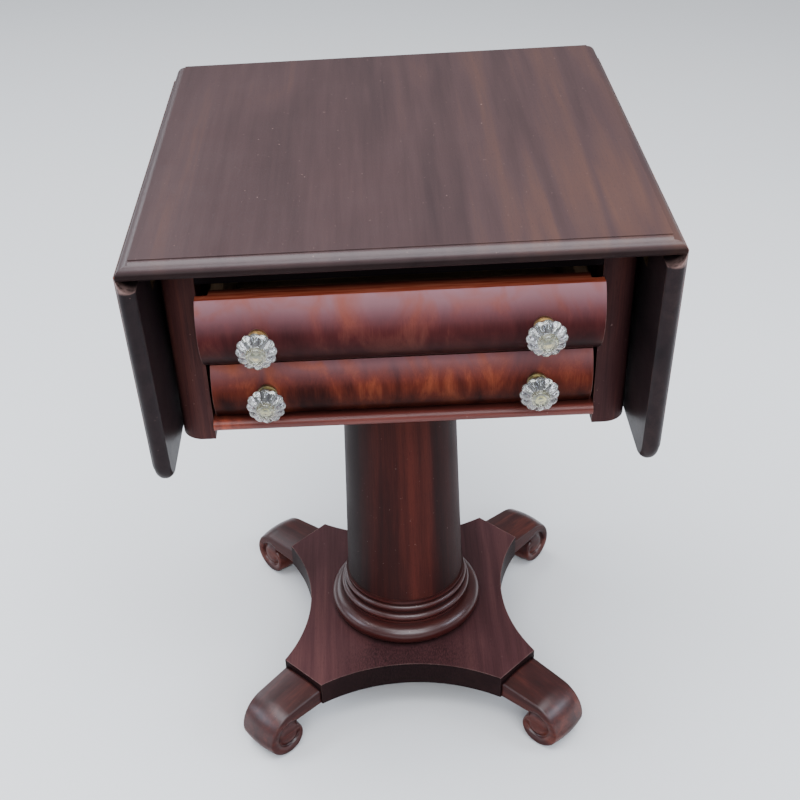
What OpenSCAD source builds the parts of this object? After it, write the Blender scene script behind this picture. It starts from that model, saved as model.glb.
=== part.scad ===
// Work table on a pedestal: two drop leaves, two drawers, a column and four scroll feet.
// Origin on the floor at the column's axis, +Z up, the drawers open towards -Y.

/* [Top] */
// Height of the top's upper face above the floor
table_h = 737; // [720:1:760]
// Width of the top's flat face, from one rule joint to the other
flat_w = 486; // [470:2:500]
// Depth of the top's flat face, front to back
flat_d = 506; // [490:2:520]
// Thickness of the top and of the leaves
board_t = 19; // [18:0.5:22]
// Step above the round nose of the edges
edge_step = 1; // [0.5:0.5:2]

/* [Rule joint] */
// Depth of the square step above the round
joint_step = 3; // [2:0.5:4]
// Radius of the round on the top's side edges
joint_r = 13; // [11:0.5:14]
// Clearance between the round and the leaf's cove
joint_gap = 0.5; // [0.3:0.1:0.8]

/* [Leaves] */
// Length of a leaf, from the hinge axis to its free edge
leaf_l = 235; // [200:1:236]
// Lean of a hanging leaf towards the case, in degrees
leaf_lean = 1.2; // [0:0.1:1.2]
// Radius of a leaf's two free corners
leaf_corner_r = 24; // [22:1:40]

/* [Table hinges] */
// Distance of each hinge from the middle of the leaf
hinge_y = 165; // [120:5:200]
// Length of a hinge along its pin
hinge_l = 42; // [36:1:60]
// Radius of a knuckle
knuckle_r = 3.4; // [3:0.1:3.8]
// Radius of a hinge pin
pin_r = 1.5; // [1.2:0.1:1.8]
// Thickness of a hinge plate
plate_t = 2; // [1.5:0.1:2]

/* [Case] */
// Width of the case over its posts
case_w = 469; // [460:1:469]
// Depth of the case over its posts
case_d = 368; // [350:2:380]
// Width of a post
post_w = 36.5; // [34:0.5:38]
// Depth of a post
post_d = 38; // [34:1:42]
// Height of the posts' lower ends above the floor
post_z = 489; // [480:1:495]
// Radius of the rounded outer corner of a post
post_r = 24; // [10:1:26]
// Thickness of the side panels
panel_t = 16; // [14:1:18]

/* [Drawers] */
// Height of the lower face of the lower drawer's front
lower_z = 515.5; // [514:0.5:518]
// Height of the lower drawer's front
lower_h = 62; // [58:1:62]
// Half width of the lower drawer's front
lower_half = 194.5; // [190:0.5:196]
// Height of the lower face of the upper drawer's front
upper_z = 586; // [584:0.5:588]
// Height of the upper drawer's front
upper_h = 82; // [78:1:82]
// Half width of the upper drawer's front over its two lips
upper_half = 196.5; // [190:0.5:197]
// Radius of the upper front's curve
upper_r = 50; // [48:1:56]
// Radius of the lower front's curve
lower_r = 46; // [42:1:60]
// Half width of a drawer box over its sides
box_half = 184; // [180:0.5:184]
// Thickness of the drawer sides
side_t = 12; // [10:1:14]
// Distance of the knobs from the middle of a drawer
knob_x = 137.5; // [120:0.5:150]
// Radius of a glass knob over its lobes
knob_r = 20; // [16:0.5:22]
// Number of lobes round a glass knob
knob_lobes = 12; // [8:1:16]

/* [Pedestal] */
// Radius of the column at its top
column_top_r = 66.5; // [60:0.5:72]
// Radius of the column at its foot
column_foot_r = 76; // [70:0.5:76]
// Height of the platform's upper face above the floor
platform_z = 83.5; // [78:0.5:90]
// Thickness of the platform
platform_t = 34; // [28:1:36]
// Distance of the hollow sides from the axis, at their middle
waist = 130.5; // [120:0.5:140]
// Half width of the platform over its canted corners
platform_half = 162; // [155:1:170]
// Half length of the hollow sides
hollow_half = 114; // [105:1:120]
// Height of the moulded ring round the column's foot
ring_h = 61.5; // [55:0.5:66]
// Radius of the ring's torus
torus_r = 13; // [10:0.5:14]
// Outer radius of the ring
ring_r = 99.5; // [95:0.5:105]

/* [Feet] */
// Distance from the axis to the outermost point of a scroll
foot_reach = 283; // [275:1:295]
// Radius of the scroll's outer turn
scroll_r = 31; // [28:0.5:34]
// Width of a foot at the platform
foot_root_w = 64; // [58:1:66]
// Width of a foot at its scroll
foot_end_w = 57; // [50:1:60]
// Depth of the carved spiral
carve_depth = 3; // [1:0.5:4]

/* [Hidden] */
$fn = 96;

mahogany = "#4b2723";
dark_mahogany = "#34191a";
flame_veneer = "#6b2a1e";
poplar = "#8a6a48";
brass = "#9c8450";
glass = "#e6efef";
iron = "#55504c";

// Top, leaves and rule joint
axis_x = flat_w / 2;
axis_drop = joint_step + joint_r;
axis_z = table_h - axis_drop;
under_z = table_h - board_t;
axis_up = board_t - axis_drop;
edge_r = (board_t - edge_step) / 2 + 0.5;
board_half_d = flat_d / 2 + edge_r;
board_half_w = axis_x + joint_r;
cove_r = joint_r + joint_gap;
leaf_tilt = 90 + leaf_lean;

// Hinges
groove_r = 4.6;
plate_gap = 0.4;
fixed_plate_l = 40;
leaf_plate_l = 52;
knuckle_l = (hinge_l - 2 * plate_gap) / 3;
pin_clearance = 0.05;
screw_r = 1.6;
screw_head_r = 3.2;
screw_l = 11;
screw_spread = 12;
screw_margin = 9;
screw_stagger = 15;

// Case
case_x = case_w / 2;
post_x = case_x - post_w;
case_front = -case_d / 2;
post_back = case_front + post_d;
panel_recess = 2;
panel_out = case_x - panel_recess;
panel_in = panel_out - panel_t;
bottom_t = 12;
bottom_z = post_z + 0.5;
bottom_top = bottom_z + bottom_t;
rail_h = 13;
rail_z = bottom_top - 1;
rail_out = 6;
back_panel_t = 10;
back_panel_y = -case_front - back_panel_t - panel_recess;
top_rail_h = 46;
top_rail_t = 22;
top_rail_set = 1.5;

// Drawer boxes
box_gap = 1.5;
box_lift = 0.4;
box_back = 150;
divider_z = lower_z + lower_h + 2;
divider_t = 12;
divider_front = case_front + 8;
runner_in = 165;
runner_front = post_back + 16;
guide_h = 14;
guide_x = box_half + box_gap;
groove_d = 4;
floor_t = 5;
floor_up = 6;
rear_t = 12;
tail_count = 3;
tail_d = 9;
tail_narrow = 9;
tail_wide = 14;

// Lower drawer
lower_box_z = lower_z + 1.5;
lower_box_h = lower_h - 5;
lower_front_back = case_front + 18;
lower_belly = case_front - 8;
lower_mid_z = lower_z + lower_h / 2;

// Upper drawer: the strip along the top of its front is thinner than the rest, most of all on the lips
upper_box_z = divider_z + divider_t + 0.5;
upper_box_h = 70;
upper_front_back = case_front + 6;
upper_strip_back = case_front - 4;
lip_back = case_front - 4;
lip_strip_back = case_front - 15;
upper_tail_top = upper_z + upper_h - 18;
upper_mid_z = upper_z + 47;
upper_mid_y = case_front + 11;
upper_belly = upper_mid_y - upper_r;
kicker_z = upper_box_z + upper_box_h + 2;
kicker_h = 16;
kicker_w = 12;

// Knobs
spot_d = 1;
collar_h = 11;
collar_r = 10;
collar_step = 2.5;
knob_h = 25;
knob_bolt_r = 2;
bolt_in_glass = 14;
bolt_end = 2;
nut_t = 3.5;
nut_r = 5;
lower_knob_z = lower_mid_z + 2.5;
upper_knob_z = upper_mid_z - 1;

// Section of a glass knob, in shares of its radius and of its length
knob_profile = [[0, 0], [0.36, 0], [0.45, 0.2], [0.95, 0.44], [1, 0.54], [0.95, 0.64],
    [0.6, 0.84], [0.47, 0.88], [0.44, 1], [0, 1]];

// Slides and cleats
slide_half = 14.5;
slide_h = 17;
slide_gap = 0.5;
slide_in = 60;
guide_w = 15;
slide_guide_h = 20;
finger_r = 5;
finger_in = 12;
cleat_h = 18;
cleat_w = 18;
cleat_l = 100;
cleat_y = 88;
top_screw_spread = 30;
top_screw_in = 12;

// Pedestal
bearer_h = 22;
bearer_x = 130;
bearer_y = 95;
bearer_screw_x = 100;
bearer_screw_y = 60;
bearer_screw_in = 9;
column_top = bottom_z - bearer_h;
column_foot = platform_z + ring_h;
spigot_r = 32;
tenon_r = 26;
platform_low = platform_z - platform_t;
low_bead_r = 5.3;
low_bead_x = column_foot_r + 4;
low_bead_up = ring_h - 25.5;
high_bead_r = 3.9;
high_bead_x = column_foot_r + 1.5;
high_bead_up = ring_h - 12;
hollow_sag = platform_half - waist;
hollow_r = (hollow_half * hollow_half + hollow_sag * hollow_sag) / (2 * hollow_sag);
cant = (platform_half + hollow_half) / sqrt(2);

// Feet: the scroll is three tangent arcs
scroll_z = scroll_r;
crown_r = scroll_r + 10;
tuck_r = scroll_r - 5;
crown_s = foot_reach - crown_r;
scroll_s = foot_reach - scroll_r;
root_top = platform_z - 7;
root_low = platform_low - 2.5;
notch_a = 125;

// Where the tangent from the root's upper corner meets the crown arc, and where the scroll meets the stem
crown = [crown_s, scroll_z];
root_dx = crown_s - cant;
root_dz = root_top - scroll_z;
root_dist = sqrt(root_dx * root_dx + root_dz * root_dz);
tangent_a = 180 - atan2(root_dz, root_dx) - acos(crown_r / root_dist);
tangent = crown + crown_r * [cos(tangent_a), sin(tangent_a)];
notch = [scroll_s, tuck_r] + tuck_r * [cos(notch_a), sin(notch_a)];
stem_end = crown + [crown_r / 10, -crown_r / 7];

// The carved spiral, the pad under a foot and the dowels
pad_cut = 0.4;
spiral_turns = 0.95;
spiral_out = 22.5;
spiral_in = 14;
spiral_band = 4;
spiral_start = 125;
spiral_steps = 54;
eye_s = scroll_s - 2.5;
eye_z = scroll_z + 1.5;
dowel_r = 5;
dowel_l = 50;
dowel_off = 16;
dowel_z = platform_z - 22;

// ---- helpers ----

// Extrudes a (y, z) outline along X.
module along_x(length) {
    rotate([90, 0, 90]) linear_extrude(length, center = true) children();
}

// Extrudes an (x, z) outline along Y.
module along_y(length) {
    rotate([90, 0, 0]) linear_extrude(length, center = true) children();
}

// A box given by its low corner and its high corner.
module block(low, high) {
    translate(low) cube(high - low);
}

module both_sides() {
    children();
    mirror([1, 0, 0]) children();
}

// Section of a board from x = 0 out to a nosed edge: a small step down to a round that ends at the underside.
module nosed_outline(length) {
    intersection() {
        union() {
            translate([0, -board_t]) square([length - edge_r, board_t]);
            translate([length - edge_r, -edge_step - edge_r]) circle(edge_r);
        }
        translate([0, -board_t]) square([length + 1, board_t]);
    }
}

// A board along X with both its long edges nosed; its upper face is at z = 0.
module nosed_board(length, half_width) {
    flat_half = half_width - edge_r;
    along_x(length) intersection() {
        union() {
            translate([-flat_half, -board_t]) square([2 * flat_half, board_t]);
            for (side = [-1, 1]) translate([side * flat_half, -edge_step - edge_r]) circle(edge_r);
        }
        translate([-half_width - 1, -board_t]) square([2 * half_width + 2, board_t]);
    }
}

// A countersunk screw with its head's face at z = 0, pointing along +Z.
module wood_screw(length) {
    union() {
        cylinder(h = plate_t, r1 = screw_head_r, r2 = screw_r);
        cylinder(h = length, r = screw_r);
    }
}

// ---- top ----

module top_outline() {
    intersection() {
        union() {
            translate([-axis_x, -board_t]) square([flat_w, board_t]);
            for (side = [-1, 1]) translate([side * axis_x, -axis_drop]) circle(joint_r);
        }
        translate([-board_half_w, -board_t]) square([2 * board_half_w, board_t]);
    }
}

// Room in the top's underside for one hinge: plate, knuckle and the leaf's plate when it is up.
module hinge_recess() {
    block([axis_x - fixed_plate_l, -hinge_l / 2, under_z - 1], [axis_x, hinge_l / 2, under_z + plate_t]);
    translate([axis_x, 0, axis_z]) rotate([90, 0, 0])
        cylinder(h = hinge_l + 2 * plate_gap, r = groove_r, center = true);
    block([axis_x, -hinge_l / 2 - plate_gap, under_z - 1],
          [axis_x + joint_r + 1, hinge_l / 2 + plate_gap, under_z + plate_t + plate_gap]);
}

module top_board() color(mahogany) {
    difference() {
        intersection() {
            translate([0, 0, table_h]) along_y(2 * board_half_d) top_outline();
            translate([0, 0, table_h]) nosed_board(2 * board_half_w, board_half_d);
        }
        both_sides() for (y = [-hinge_y, hinge_y]) translate([0, y, 0]) hinge_recess();
        hinge_screw_set();
        top_screw_set();
    }
}

// ---- hinges ----

module hinge_screw_set() {
    both_sides() for (y = [-hinge_y, hinge_y], k = [-1, 0, 1])
        translate([axis_x - fixed_plate_l + screw_margin + (k == 0 ? screw_stagger : 0),
                   y + k * screw_spread, under_z])
            wood_screw(screw_l);
}

// One fixed plate with its two outer knuckles.
module fixed_plate() {
    difference() {
        union() {
            block([axis_x - fixed_plate_l, -hinge_l / 2, under_z],
                  [axis_x, hinge_l / 2, under_z + plate_t]);
            translate([axis_x, 0, axis_z]) rotate([90, 0, 0])
                cylinder(h = hinge_l, r = knuckle_r, center = true);
        }
        block([axis_x - groove_r - plate_gap, -knuckle_l / 2 - plate_gap, under_z - 2],
              [axis_x + groove_r, knuckle_l / 2 + plate_gap, axis_z + groove_r]);
        translate([axis_x, 0, axis_z]) rotate([90, 0, 0])
            cylinder(h = hinge_l + 2, r = pin_r, center = true);
    }
}

module hinge_plates() color(brass) {
    difference() {
        both_sides() for (y = [-hinge_y, hinge_y]) translate([0, y, 0]) fixed_plate();
        hinge_screw_set();
    }
}

module hinge_pins() color(iron) {
    both_sides() for (y = [-hinge_y, hinge_y])
        translate([axis_x, y, axis_z]) rotate([90, 0, 0]) cylinder(h = hinge_l, r = pin_r, center = true);
}

module hinge_screws() color(brass) {
    hinge_screw_set();
}

// ---- leaves, drawn level in their own frame: the hinge axis is at x = 0, z = 0 ----

// A leaf before its cove and recesses are cut: nosed on three sides, with round free corners.
module leaf_blank() {
    corner_x = leaf_l - leaf_corner_r;
    corner_y = board_half_d - leaf_corner_r;
    translate([corner_x / 2, 0, 0]) nosed_board(corner_x, board_half_d);
    along_y(2 * corner_y) nosed_outline(leaf_l);
    for (side = [0, 1]) mirror([0, side, 0]) translate([corner_x, corner_y, 0])
        rotate_extrude(angle = 90) nosed_outline(leaf_corner_r);
}

module leaf_screw_set() {
    for (y = [-hinge_y, hinge_y], k = [-1, 0, 1])
        translate([leaf_plate_l - screw_margin - (k == 0 ? screw_stagger : 0),
                   y + k * screw_spread, -axis_up])
            wood_screw(screw_l);
}

module level_leaf() {
    difference() {
        translate([0, 0, axis_drop]) leaf_blank();
        block([-1, -board_half_d - 1, -board_t], [joint_gap, board_half_d + 1, board_t]);
        along_y(2 * board_half_d + 2) circle(cove_r);
        for (y = [-hinge_y, hinge_y])
            block([0, y - hinge_l / 2, -axis_up - 1],
                  [leaf_plate_l, y + hinge_l / 2, -axis_up + plate_t]);
        leaf_screw_set();
    }
}

// One leaf plate with its middle knuckle.
module leaf_plate() {
    difference() {
        union() {
            block([groove_r + plate_gap, -hinge_l / 2, -axis_up],
                  [leaf_plate_l, hinge_l / 2, -axis_up + plate_t]);
            block([0, -knuckle_l / 2, -axis_up], [groove_r + 1, knuckle_l / 2, -axis_up + plate_t]);
            rotate([90, 0, 0]) cylinder(h = knuckle_l, r = knuckle_r, center = true);
        }
        rotate([90, 0, 0]) cylinder(h = hinge_l + 2, r = pin_r + pin_clearance, center = true);
    }
}

module level_leaf_plates() {
    difference() {
        for (y = [-hinge_y, hinge_y]) translate([0, y, 0]) leaf_plate();
        leaf_screw_set();
    }
}

// Swings what is drawn level down to the hanging place on the right.
module hang() {
    translate([axis_x, 0, axis_z]) rotate([0, leaf_tilt, 0]) children();
}

module right_leaf() color(mahogany) hang() level_leaf();
module right_leaf_plates() color(brass) hang() level_leaf_plates();
module right_leaf_screws() color(brass) hang() leaf_screw_set();
module left_leaf() color(mahogany) mirror([1, 0, 0]) hang() level_leaf();
module left_leaf_plates() color(brass) mirror([1, 0, 0]) hang() level_leaf_plates();
module left_leaf_screws() color(brass) mirror([1, 0, 0]) hang() leaf_screw_set();

// ---- case ----

// Plan of the front right post: the outer front corner is rounded.
module post_plan() {
    union() {
        translate([post_x, case_front]) square([post_w - post_r, post_d]);
        translate([post_x, case_front + post_r]) square([post_w, post_d - post_r]);
        translate([case_x - post_r, case_front + post_r]) circle(post_r);
    }
}

module front_right_post() color(dark_mahogany)
    translate([0, 0, post_z]) linear_extrude(under_z - post_z) intersection() {
        post_plan();
        translate([post_x, case_front]) square([post_w, post_d]);
    }
module front_left_post() mirror([1, 0, 0]) front_right_post();
module back_right_post() mirror([0, 1, 0]) front_right_post();
module back_left_post() mirror([1, 0, 0]) back_right_post();

module right_side_panel() color(dark_mahogany) {
    difference() {
        block([panel_in, post_back, bottom_z], [panel_out, -post_back, under_z]);
        block([panel_in - 1, -slide_half - slide_gap, under_z - slide_h - slide_gap],
              [panel_out + 1, slide_half + slide_gap, under_z + 1]);
    }
}
module left_side_panel() mirror([1, 0, 0]) right_side_panel();

module back_panel() color(dark_mahogany)
    block([-post_x, back_panel_y, bottom_z], [post_x, back_panel_y + back_panel_t, under_z]);

// The rail under the drawers has a round nose.
module bottom_rail() color(mahogany) {
    nose = rail_h / 2;
    along_x(2 * post_x) union() {
        translate([case_front - rail_out + nose, rail_z]) square([post_d + rail_out - nose, rail_h]);
        translate([case_front - rail_out + nose, rail_z + nose]) circle(nose);
    }
}

module drawer_divider() color(poplar)
    block([-post_x, divider_front, divider_z], [post_x, runner_front, divider_z + divider_t]);

module top_rail() color(dark_mahogany)
    block([-post_x, case_front + top_rail_set, under_z - top_rail_h],
          [post_x, case_front + top_rail_set + top_rail_t, under_z]);

module case_bottom() color(poplar) {
    difference() {
        union() {
            block([-panel_in, post_back, bottom_z], [panel_in, -post_back, bottom_top]);
            block([-post_x, 0, bottom_z], [post_x, back_panel_y, bottom_top]);
        }
        bearer_screw_set();
    }
}

// A runner and its guide, for the drawer box whose underside is at z.
module runner(z, low) {
    block([runner_in, runner_front, low], [panel_in, -post_back, z]);
    block([guide_x, runner_front, low], [panel_in, -post_back, z + guide_h]);
}

module lower_runners() color(poplar) both_sides() union() runner(lower_box_z - box_lift, bottom_top);
module upper_runners() color(poplar) both_sides() union() runner(upper_box_z - box_lift, divider_z);

module kickers() color(poplar) both_sides()
    block([guide_x - kicker_w, post_back, kicker_z], [panel_in, -post_back, kicker_z + kicker_h]);

// ---- leaf slides under the top, pushed in ----

module slide_guides() color(poplar) {
    for (side = [-1, 1]) translate([0, side * (slide_half + slide_gap + guide_w / 2), 0])
        block([-panel_in, -guide_w / 2, under_z - slide_guide_h], [panel_in, guide_w / 2, under_z]);
}

module right_leaf_slide() color(mahogany) {
    difference() {
        block([slide_in, -slide_half, under_z - slide_h],
              [panel_out - slide_gap, slide_half, under_z - slide_gap]);
        translate([panel_out - finger_in, 0, under_z - slide_h]) sphere(finger_r);
    }
}
module left_leaf_slide() mirror([1, 0, 0]) right_leaf_slide();

module top_cleats() color(poplar) {
    difference() {
        both_sides() for (side = [-1, 1])
            translate([0, side * cleat_y, 0])
                block([panel_in - cleat_w, -cleat_l / 2, under_z - cleat_h],
                      [panel_in, cleat_l / 2, under_z]);
        top_screw_set();
    }
}

module top_screw_set() {
    both_sides() for (side = [-1, 1], k = [-1, 1])
        translate([panel_in - cleat_w / 2, side * cleat_y + k * top_screw_spread, under_z - cleat_h])
            wood_screw(cleat_h + top_screw_in);
}

module top_screws() color(iron) top_screw_set();

// ---- pedestal ----

module bearer_screw_set() {
    for (x = [-1, 1], y = [-1, 1]) translate([x * bearer_screw_x, y * bearer_screw_y, column_top])
        wood_screw(bearer_h + bearer_screw_in);
}

module bearer() color(mahogany) {
    difference() {
        block([-bearer_x, -bearer_y, column_top], [bearer_x, bearer_y, bottom_z]);
        translate([0, 0, column_top - 1]) cylinder(h = bearer_h + 2, r = tenon_r);
        bearer_screw_set();
    }
}

module bearer_screws() color(iron) bearer_screw_set();

module column() color(mahogany) {
    union() {
        translate([0, 0, column_foot])
            cylinder(h = column_top - column_foot, r1 = column_foot_r, r2 = column_top_r);
        translate([0, 0, platform_low]) cylinder(h = column_foot - platform_low + 1, r = spigot_r);
        translate([0, 0, column_top - 1]) cylinder(h = bearer_h + 1, r = tenon_r);
    }
}

// A step of the ring's section, from the bore out to radius r and up to height z.
module ring_step(r, z) {
    translate([spigot_r, 0]) square([r - spigot_r, z]);
}

// Section of the moulded ring: a torus, two beads and a fillet, stepping in towards the column.
module ring_outline() {
    torus_x = ring_r - torus_r;
    union() {
        ring_step(torus_x, 2 * torus_r);
        translate([torus_x, torus_r]) circle(torus_r);
        ring_step(low_bead_x + 3.5, 2 * torus_r + 4.5);
        translate([low_bead_x, low_bead_up]) circle(low_bead_r);
        ring_step(low_bead_x, low_bead_up + low_bead_r);
        translate([high_bead_x, high_bead_up]) circle(high_bead_r);
        ring_step(high_bead_x, high_bead_up + high_bead_r);
        ring_step(column_foot_r + 0.5, ring_h);
        translate([0, ring_h - 4.5]) ring_step(column_foot_r + 2.5, 3);
    }
}

module base_ring() color(mahogany)
    translate([0, 0, platform_z]) rotate_extrude() ring_outline();

module platform() color(mahogany) {
    h = platform_half;
    c = hollow_half;
    translate([0, 0, platform_low]) difference() {
        linear_extrude(platform_t) difference() {
            polygon([[h, -c], [h, c], [c, h], [-c, h], [-h, c], [-h, -c], [-c, -h], [c, -h]]);
            for (turn = [0:3]) rotate(90 * turn) translate([waist + hollow_r, 0])
                circle(hollow_r, $fn = 180);
        }
        translate([0, 0, -1]) cylinder(h = platform_t + 2, r = spigot_r);
        translate([0, 0, -platform_low]) foot_dowel_set();
    }
}

// ---- feet, drawn along +X from the axis ----

// Side view of the part of a foot between the stem and the scroll.
module crown_outline() {
    intersection() {
        translate(crown) circle(crown_r);
        polygon([crown, 2 * tangent - crown,
                 crown + [2 * crown_r, 2 * crown_r], crown + [2 * crown_r, 0]]);
    }
}

// Side view of the scroll's outer half.
module scroll_outline() {
    intersection() {
        translate([scroll_s, scroll_z]) circle(scroll_r);
        translate([scroll_s, 0]) square([scroll_r + 1, 2 * scroll_r]);
    }
}

// A foot of constant width: the stem, then three tangent arcs of falling radius.
module straight_foot(width) {
    along_y(width) polygon([[cant, root_low], [cant, root_top], tangent, stem_end, notch]);
    along_y(width) crown_outline();
    along_y(width) scroll_outline();
    along_y(width) translate([scroll_s, tuck_r]) circle(tuck_r);
}

// The carved spiral: a band that starts at the notch and winds inwards to the boss.
function spiral_at(i, shift) =
    let (u = i / spiral_steps,
         a = spiral_start - 360 * spiral_turns * u,
         r = spiral_out + (spiral_in - spiral_out) * u + shift)
    [eye_s + r * cos(a), eye_z + r * sin(a)];

module spiral_outline() {
    polygon(concat(
        [for (i = [0:spiral_steps]) spiral_at(i, spiral_band / 2)],
        [for (i = [spiral_steps:-1:0]) spiral_at(i, -spiral_band / 2)]));
}

module foot_dowel_pair() {
    for (side = [-1, 1]) translate([cant - dowel_l / 2, side * dowel_off, dowel_z])
        rotate([0, 90, 0]) cylinder(h = dowel_l, r = dowel_r);
}

module foot_dowel_set() {
    for (a = [45:90:315]) rotate([0, 0, a]) foot_dowel_pair();
}

module foot() {
    difference() {
        intersection() {
            translate([0, 0, -pad_cut]) straight_foot(2 * foot_root_w);
            linear_extrude(platform_z) polygon([
                [cant, -foot_root_w / 2], [foot_reach + 1, -foot_end_w / 2],
                [foot_reach + 1, foot_end_w / 2], [cant, foot_root_w / 2]]);
        }
        for (side = [-1, 1]) translate([0, side * (foot_end_w / 2 + 10 - carve_depth), 0])
            along_y(20) spiral_outline();
        foot_dowel_pair();
    }
}

module front_left_foot() color(mahogany) rotate([0, 0, 225]) foot();
module front_right_foot() color(mahogany) rotate([0, 0, 315]) foot();
module back_right_foot() color(mahogany) rotate([0, 0, 45]) foot();
module back_left_foot() color(mahogany) rotate([0, 0, 135]) foot();

module foot_dowels() color(poplar) foot_dowel_set();

// ---- drawers ----

// Tails at the front end of a drawer side, as a (y, z) outline.
module tail_outline(front_y, z, h) {
    pitch = h / tail_count;
    for (i = [0:tail_count - 1]) {
        mid = z + (i + 0.5) * pitch;
        polygon([[front_y, mid - tail_narrow / 2], [front_y, mid + tail_narrow / 2],
                 [front_y - tail_d, mid + tail_wide / 2], [front_y - tail_d, mid - tail_wide / 2]]);
    }
}

module tails(front_y, z, h) {
    translate([box_half - side_t / 2, 0, 0]) along_x(side_t) tail_outline(front_y, z, h);
}

// The floor of a drawer box; it also cuts the grooves that hold it.
module box_floor(front_y, z) {
    reach = box_half - side_t + groove_d;
    block([-reach, front_y - groove_d, z + floor_up], [reach, box_back, z + floor_up + floor_t]);
}

// The right side of a drawer box, with tails over the height tail_h.
module box_side(front_y, z, h, tail_h) {
    difference() {
        union() {
            block([box_half - side_t, front_y, z], [box_half, box_back, z + h]);
            tails(front_y, z, tail_h);
        }
        box_floor(front_y, z);
    }
}

module box_rear(z, h) {
    block([side_t - box_half, box_back - rear_t, z + floor_up + floor_t],
          [box_half - side_t, box_back, z + h]);
}

// Places something, drawn pointing up, at both knobs of a drawer and turns it towards -Y.
module at_knobs(y, z) {
    for (side = [-1, 1]) translate([side * knob_x, y, z]) rotate([90, 0, 0]) children();
}

// The bolts of a drawer's knobs, from inside the glass to the nut behind the front.
module knob_bolts(belly, back, z) {
    bolt_y = back + nut_t + bolt_end;
    at_knobs(bolt_y, z) cylinder(h = bolt_y - belly + collar_h + bolt_in_glass, r = knob_bolt_r);
    at_knobs(back + nut_t, z) cylinder(h = nut_t, r = nut_r, $fn = 6);
}

module knob_collars(belly, z) {
    difference() {
        at_knobs(belly + spot_d, z) union() {
            cylinder(h = spot_d + collar_step, r = collar_r);
            cylinder(h = spot_d + collar_h, r1 = collar_r - 1, r2 = collar_r - 3);
            translate([0, 0, spot_d + collar_h - collar_step])
                cylinder(h = collar_step, r = collar_r - 1.4);
        }
        at_knobs(belly + collar_h, z) cylinder(h = 3 * collar_h, r = knob_bolt_r);
    }
}

// A pressed glass knob: a faceted flower with a button in the middle.
module glass_knob() {
    lobe_r = knob_r * sin(180 / knob_lobes);
    difference() {
        intersection() {
            rotate_extrude() polygon([for (p = knob_profile) [p[0] * knob_r, p[1] * knob_h]]);
            linear_extrude(knob_h) union() {
                circle(knob_r - lobe_r * 0.6);
                for (i = [0:knob_lobes - 1]) rotate(i * 360 / knob_lobes)
                    translate([knob_r - lobe_r, 0]) circle(lobe_r);
            }
        }
        translate([0, 0, -1]) cylinder(h = bolt_in_glass + 1, r = knob_bolt_r);
    }
}

// Cuts for one drawer's tails, floor, collars and bolts, taken out of its front.
module front_cuts(belly, back, z, box_z, tail_h) {
    both_sides() tails(back, box_z, tail_h);
    box_floor(back, box_z);
    at_knobs(belly + spot_d, z) cylinder(h = 20, r = collar_r);
    at_knobs(back + 1, z) cylinder(h = back - belly + 2, r = knob_bolt_r);
}

// Upper drawer: a bold round front that stands out between the posts.
module upper_curve() {
    translate([upper_mid_y, upper_mid_z]) circle(upper_r, $fn = 180);
}

module upper_core_outline() {
    top = upper_z + upper_h;
    difference() {
        union() {
            intersection() {
                upper_curve();
                translate([upper_belly, upper_z]) square([upper_front_back - upper_belly, upper_h]);
            }
            translate([case_front - 2, upper_z])
                square([upper_front_back - case_front + 2, upper_tail_top - upper_z]);
        }
        translate([upper_strip_back, upper_tail_top]) square([upper_r, top - upper_tail_top + 1]);
    }
}

module upper_lip_outline() {
    difference() {
        intersection() {
            upper_curve();
            translate([upper_belly, upper_z]) square([lip_back - upper_belly, upper_h]);
        }
        translate([lip_strip_back, upper_tail_top]) square([upper_r, upper_h]);
    }
}

module upper_front() color(flame_veneer) {
    difference() {
        union() {
            along_x(2 * box_half) upper_core_outline();
            along_x(2 * upper_half) upper_lip_outline();
        }
        front_cuts(upper_belly, upper_front_back, upper_knob_z, upper_box_z, upper_tail_top - upper_box_z);
    }
}

module upper_right_side() color(poplar)
    box_side(upper_front_back, upper_box_z, upper_box_h, upper_tail_top - upper_box_z);
module upper_left_side() mirror([1, 0, 0]) upper_right_side();
module upper_back() color(poplar) box_rear(upper_box_z, upper_box_h);
module upper_bottom() color(poplar) box_floor(upper_front_back, upper_box_z);
module upper_knobs() color(glass) at_knobs(upper_belly - collar_h, upper_knob_z) glass_knob();
module upper_collars() color(brass) knob_collars(upper_belly, upper_knob_z);
module upper_bolts() color(iron) knob_bolts(upper_belly, upper_front_back, upper_knob_z);

// Lower drawer: a shallower round front that stands between the posts.
module lower_outline() {
    intersection() {
        translate([lower_belly + lower_r, lower_mid_z]) circle(lower_r, $fn = 180);
        translate([lower_belly, lower_z]) square([lower_front_back - lower_belly, lower_h]);
    }
}

module lower_front() color(flame_veneer) {
    difference() {
        along_x(2 * lower_half) lower_outline();
        front_cuts(lower_belly, lower_front_back, lower_knob_z, lower_box_z, lower_box_h);
    }
}

module lower_right_side() color(poplar) box_side(lower_front_back, lower_box_z, lower_box_h, lower_box_h);
module lower_left_side() mirror([1, 0, 0]) lower_right_side();
module lower_back() color(poplar) box_rear(lower_box_z, lower_box_h);
module lower_bottom() color(poplar) box_floor(lower_front_back, lower_box_z);
module lower_knobs() color(glass) at_knobs(lower_belly - collar_h, lower_knob_z) glass_knob();
module lower_collars() color(brass) knob_collars(lower_belly, lower_knob_z);
module lower_bolts() color(iron) knob_bolts(lower_belly, lower_front_back, lower_knob_z);

// ---- the parts ----

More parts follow.
